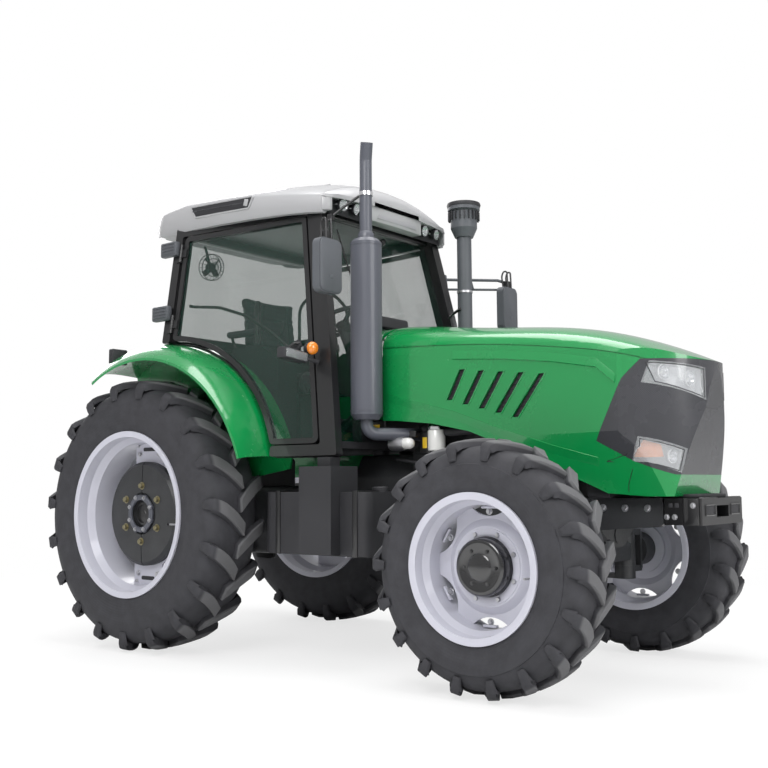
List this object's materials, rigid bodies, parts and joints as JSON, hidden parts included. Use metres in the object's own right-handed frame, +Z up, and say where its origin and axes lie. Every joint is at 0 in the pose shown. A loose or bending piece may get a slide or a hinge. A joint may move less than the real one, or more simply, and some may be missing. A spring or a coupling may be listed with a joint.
{
  "type": "farm tractor",
  "caption": "Four-wheel-drive farm tractor with a closed glazed cab, tilting hood, steered front axle, opening doors, rear three-point linkage and front weight carrier.",
  "frame": {"origin": "on the ground, under the middle of the tractor's bounding box", "axes": "+X forward, +Y to the tractor's left, +Z up"},
  "size_m": [4.3199, 2.17, 2.9882],
  "materials": {
    "amber_lens": "gloss",
    "black_paint": "satin",
    "cast_grey": "satin",
    "dark_plastic": "matt",
    "green_paint": "gloss",
    "grey_roof": "satin",
    "grille_plastic": "gloss",
    "lamp_lens": "gloss",
    "seat_fabric": "matt",
    "silencer_grey": "satin",
    "silver_rim": "satin",
    "steel": "satin",
    "tinted_glass": "gloss",
    "tyre_rubber": "matt"
  },
  "bodies": {
    "chassis": {"air_intake": "black_paint", "cab_floor": "dark_plastic", "cab_frame": "black_paint", "cab_roof": "grey_roof", "cowl": "green_paint", "dashboard": "dark_plastic", "drawbar": "black_paint", "drive_shaft": "black_paint", "engine_block": "cast_grey", "exhaust_stack": "silencer_grey", "fenders": "green_paint", "front_axle_beam": "cast_grey", "front_hitch": "black_paint", "front_support": "cast_grey", "hitch_brackets": "black_paint", "mirrors": "dark_plastic", "radiator": "black_paint", "rear_axle_housing": "cast_grey", "rear_window": "tinted_glass", "seat_backrest": "seat_fabric", "seat_base": "dark_plastic", "seat_cushion": "seat_fabric", "side_console": "dark_plastic", "side_tanks": "dark_plastic", "steering_cylinder": "black_paint", "steps": "black_paint", "tail_lamps": "amber_lens", "transmission_case": "cast_grey", "windscreen": "tinted_glass", "work_lamps": "lamp_lens"},
    "hood": {"hood_shell": "green_paint", "grille": "grille_plastic", "headlights": "lamp_lens"},
    "door_right": {"door_right": "black_paint", "door_glass_right": "tinted_glass"},
    "door_left": {"door_left": "black_paint", "door_glass_left": "tinted_glass"},
    "knuckle_right": {"knuckle_right": "cast_grey"},
    "knuckle_left": {"knuckle_left": "cast_grey"},
    "tie_rod": {"tie_rod": "black_paint"},
    "steering_rod": {"steering_rod": "steel"},
    "front_wheel_right": {"front_tyre_right": "tyre_rubber", "front_rim_right": "silver_rim"},
    "front_wheel_left": {"front_tyre_left": "tyre_rubber", "front_rim_left": "silver_rim"},
    "rear_wheel_right": {"rear_tyre_right": "tyre_rubber", "rear_rim_right": "silver_rim", "wheel_weight_right": "black_paint"},
    "rear_wheel_left": {"rear_tyre_left": "tyre_rubber", "rear_rim_left": "silver_rim", "wheel_weight_left": "black_paint"},
    "steering_wheel": {"steering_wheel": "dark_plastic"},
    "lift_arms": {"lift_arms": "black_paint"},
    "lift_rod_right": {"lift_rod_right": "black_paint"},
    "lift_rod_left": {"lift_rod_left": "black_paint"},
    "lower_link_right": {"lower_link_right": "black_paint"},
    "lower_link_left": {"lower_link_left": "black_paint"},
    "top_link": {"top_link": "black_paint"},
    "pto_shaft": {"pto_shaft": "steel"}
  },
  "joints": [
    {"name": "hood_lid", "type": "hinge", "parent": "chassis", "child": "hood", "pos_m": [0.33903, 0, 1.912], "axis": [0, -1, 0], "range_deg": [0, 50]},
    {"name": "door_left_swing", "type": "hinge", "parent": "chassis", "child": "door_left", "pos_m": [-1.06997, 0.79495, 2.03], "axis": [0, -0.1483, 0.9889], "range_deg": [0, 72]},
    {"name": "door_right_swing", "type": "hinge", "parent": "chassis", "child": "door_right", "pos_m": [-1.06997, -0.79495, 2.03], "axis": [0, -0.1483, -0.9889], "range_deg": [0, 72]},
    {"name": "steer_right", "type": "hinge", "parent": "chassis", "child": "knuckle_right", "pos_m": [1.33503, -0.62, 0.6125], "axis": [0, 0, 1], "range_deg": [-35, 35]},
    {"name": "steer_left", "type": "hinge", "parent": "chassis", "child": "knuckle_left", "pos_m": [1.33503, 0.62, 0.6125], "axis": [0, 0, 1], "range_deg": [-35, 35]},
    {"name": "tie_rod_end", "type": "hinge", "parent": "knuckle_right", "child": "tie_rod", "pos_m": [1.16504, -0.62, 0.5], "axis": [0, 0, 1], "range_deg": [-35, 35]},
    {"name": "cylinder_stroke", "type": "slide", "parent": "chassis", "child": "steering_rod", "axis": [0, 1, 0], "range_m": [-0.08604, 0.08604]},
    {"name": "front_wheel_right_spin", "type": "hinge", "parent": "knuckle_right", "child": "front_wheel_right", "pos_m": [1.33503, -0.865, 0.6125], "axis": [0, 1, 0], "continuous": true},
    {"name": "front_wheel_left_spin", "type": "hinge", "parent": "knuckle_left", "child": "front_wheel_left", "pos_m": [1.33503, 0.865, 0.6125], "axis": [0, 1, 0], "continuous": true},
    {"name": "rear_wheel_right_spin", "type": "hinge", "parent": "chassis", "child": "rear_wheel_right", "pos_m": [-1.16497, -0.8625, 0.834], "axis": [0, 1, 0], "continuous": true},
    {"name": "rear_wheel_left_spin", "type": "hinge", "parent": "chassis", "child": "rear_wheel_left", "pos_m": [-1.16497, 0.8625, 0.834], "axis": [0, 1, 0], "continuous": true},
    {"name": "steering_wheel_turn", "type": "hinge", "parent": "chassis", "child": "steering_wheel", "pos_m": [-0.31996, 0, 2.064], "axis": [-0.3989, 0, 0.917], "range_deg": [-420, 420]},
    {"name": "lift", "type": "hinge", "parent": "chassis", "child": "lift_arms", "pos_m": [-1.31496, 0, 1.105], "axis": [0, 1, 0], "range_deg": [-29.21, 25.97]},
    {"name": "lift_rod_left_pin", "type": "hinge", "parent": "lift_arms", "child": "lift_rod_left", "pos_m": [-1.59997, 0.332, 1.125], "axis": [0, 1, 0], "range_deg": [-27.59, 30.91]},
    {"name": "lower_link_left_pin", "type": "hinge", "parent": "chassis", "child": "lower_link_left", "pos_m": [-1.22497, 0.265, 0.56], "axis": [0, 1, 0], "range_deg": [-18.5, 16.5]},
    {"name": "lift_rod_right_pin", "type": "hinge", "parent": "lift_arms", "child": "lift_rod_right", "pos_m": [-1.59997, -0.332, 1.125], "axis": [0, 1, 0], "range_deg": [-27.59, 30.91]},
    {"name": "lower_link_right_pin", "type": "hinge", "parent": "chassis", "child": "lower_link_right", "pos_m": [-1.22497, -0.265, 0.56], "axis": [0, 1, 0], "range_deg": [-18.5, 16.5]},
    {"name": "top_link_pin", "type": "hinge", "parent": "chassis", "child": "top_link", "pos_m": [-1.49996, 0, 0.985], "axis": [0, -1, 0], "range_deg": [0, 70]},
    {"name": "pto_spin", "type": "hinge", "parent": "chassis", "child": "pto_shaft", "pos_m": [-1.53997, 0, 0.64], "axis": [1, 0, 0], "continuous": true}
  ],
  "couplings": [
    {"joint": "steer_left", "follows": "steer_right", "ratio": 1},
    {"joint": "tie_rod_end", "follows": "steer_right", "ratio": -1},
    {"joint": "cylinder_stroke", "follows": "steer_right", "m_per_rad": 0.14084},
    {"joint": "steering_wheel_turn", "follows": "steer_right", "ratio": 12},
    {"joint": "lower_link_left_pin", "follows": "lift", "ratio": 0.6162},
    {"joint": "lower_link_right_pin", "follows": "lift", "ratio": 0.6162},
    {"joint": "lift_rod_left_pin", "follows": "lift", "ratio": -1.0239},
    {"joint": "lift_rod_right_pin", "follows": "lift", "ratio": -1.0239}
  ]
}
